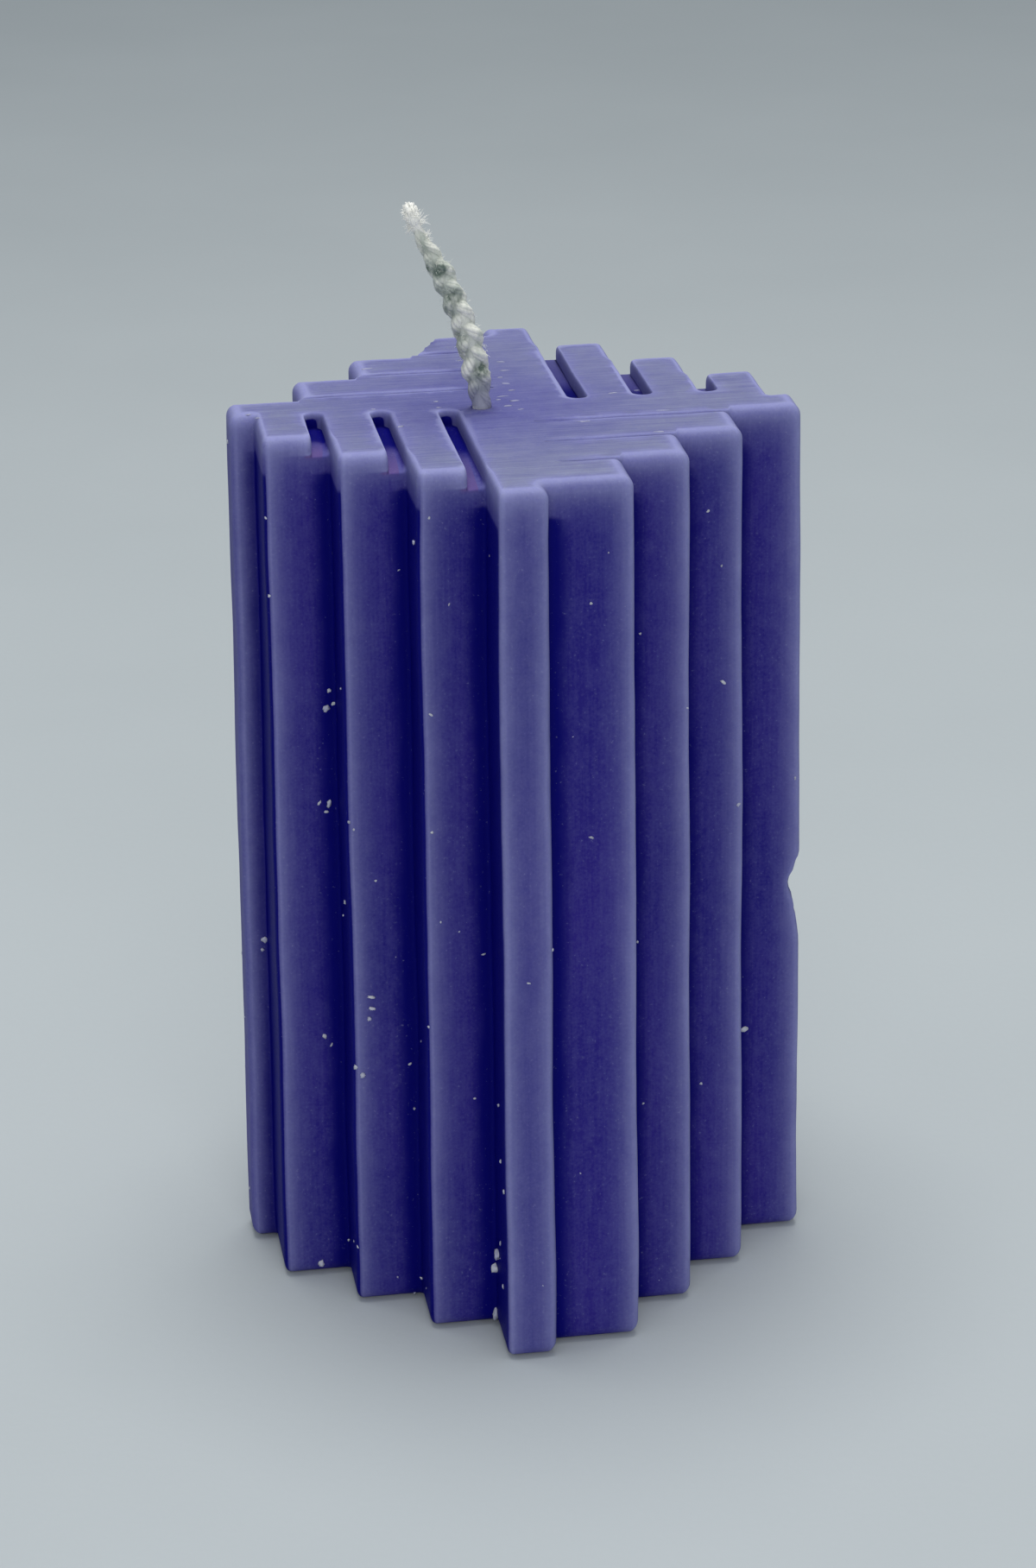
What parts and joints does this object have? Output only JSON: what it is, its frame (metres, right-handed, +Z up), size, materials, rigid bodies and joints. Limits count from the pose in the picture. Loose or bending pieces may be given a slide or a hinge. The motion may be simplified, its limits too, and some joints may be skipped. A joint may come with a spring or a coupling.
{
  "type": "pillar candle",
  "caption": "Stepped pillar candle: a cast violet wax body with a staircase plan, narrow channels in its top face and a bent cotton wick.",
  "frame": {"origin": "middle of the body's outline, on the plane that its base stands on", "axes": "+Z up along the body; -Y towards the narrow front arm that is nearest in the picture; +X to the viewer's right"},
  "size_m": [0.0632, 0.0632, 0.1231],
  "materials": {
    "wax": "satin, slightly translucent dyed wax with fine upright streaks",
    "cotton": "undyed plaited cotton, waxed near the body and frayed at the tip"
  },
  "bodies": {
    "root": {"wax_body": "wax", "wick": "cotton"}
  },
  "joints": []
}
